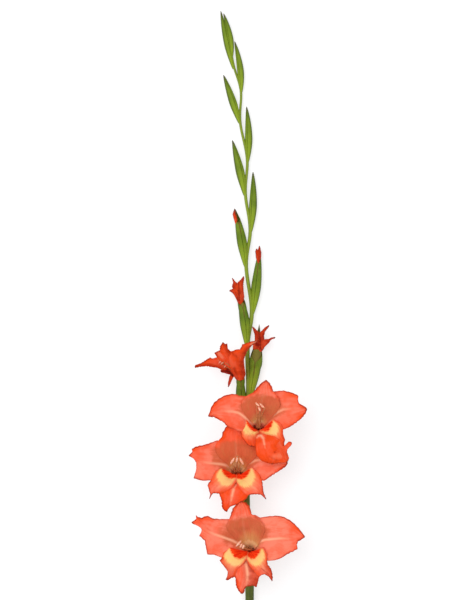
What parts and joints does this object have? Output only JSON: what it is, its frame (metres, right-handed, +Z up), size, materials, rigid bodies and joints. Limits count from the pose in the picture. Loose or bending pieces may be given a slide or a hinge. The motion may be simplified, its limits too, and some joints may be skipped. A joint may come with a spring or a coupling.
{
  "type": "cut gladiolus",
  "caption": "Cut flower spike lying flat: a slim green stem with ruffled salmon-orange blooms low down and green pointed buds up to the tip.",
  "frame": {"origin": "on the surface that the spike lies on, under the middle of its bounding box", "axes": "+Y along the stem from the cut end to the tip, +Z up from the surface, the way the open blooms look, +X to the right as seen from above"},
  "size_m": [0.1168, 0.783, 0.0684],
  "materials": {
    "stem": "smooth, waxy yellow-green stem skin with faint lengthwise ridges",
    "bract": "satin leaf-green bracts with fine parallel veins and darker edges and tips",
    "tepal": "thin salmon-orange petals with pale midrib stripes and red and yellow throat marks",
    "bud": "rolled deep orange-red petals of opening buds",
    "stamen": "pale pink filaments, anthers and style"
  },
  "bodies": {
    "root": {"bloom_1_stamens": "stamen", "bloom_1_tepals": "tepal", "bloom_2_stamens": "stamen", "bloom_2_tepals": "tepal", "bloom_3_stamens": "stamen", "bloom_3_tepals": "tepal", "bloom_4_stamens": "stamen", "bloom_4_tepals": "tepal", "bracts_01": "bract", "bracts_02": "bract", "bracts_03": "bract", "bracts_04": "bract", "bracts_05": "bract", "bracts_06": "bract", "bracts_07": "bract", "bracts_08": "bract", "bracts_09": "bract", "bracts_10": "bract", "bracts_11": "bract", "bracts_12": "bract", "bracts_13": "bract", "bracts_14": "bract", "bracts_15": "bract", "bud_5_tepals": "bud", "bud_6_tepals": "bud", "bud_7_tepals": "bud", "bud_8_tepals": "bud", "stem": "stem"}
  },
  "joints": []
}
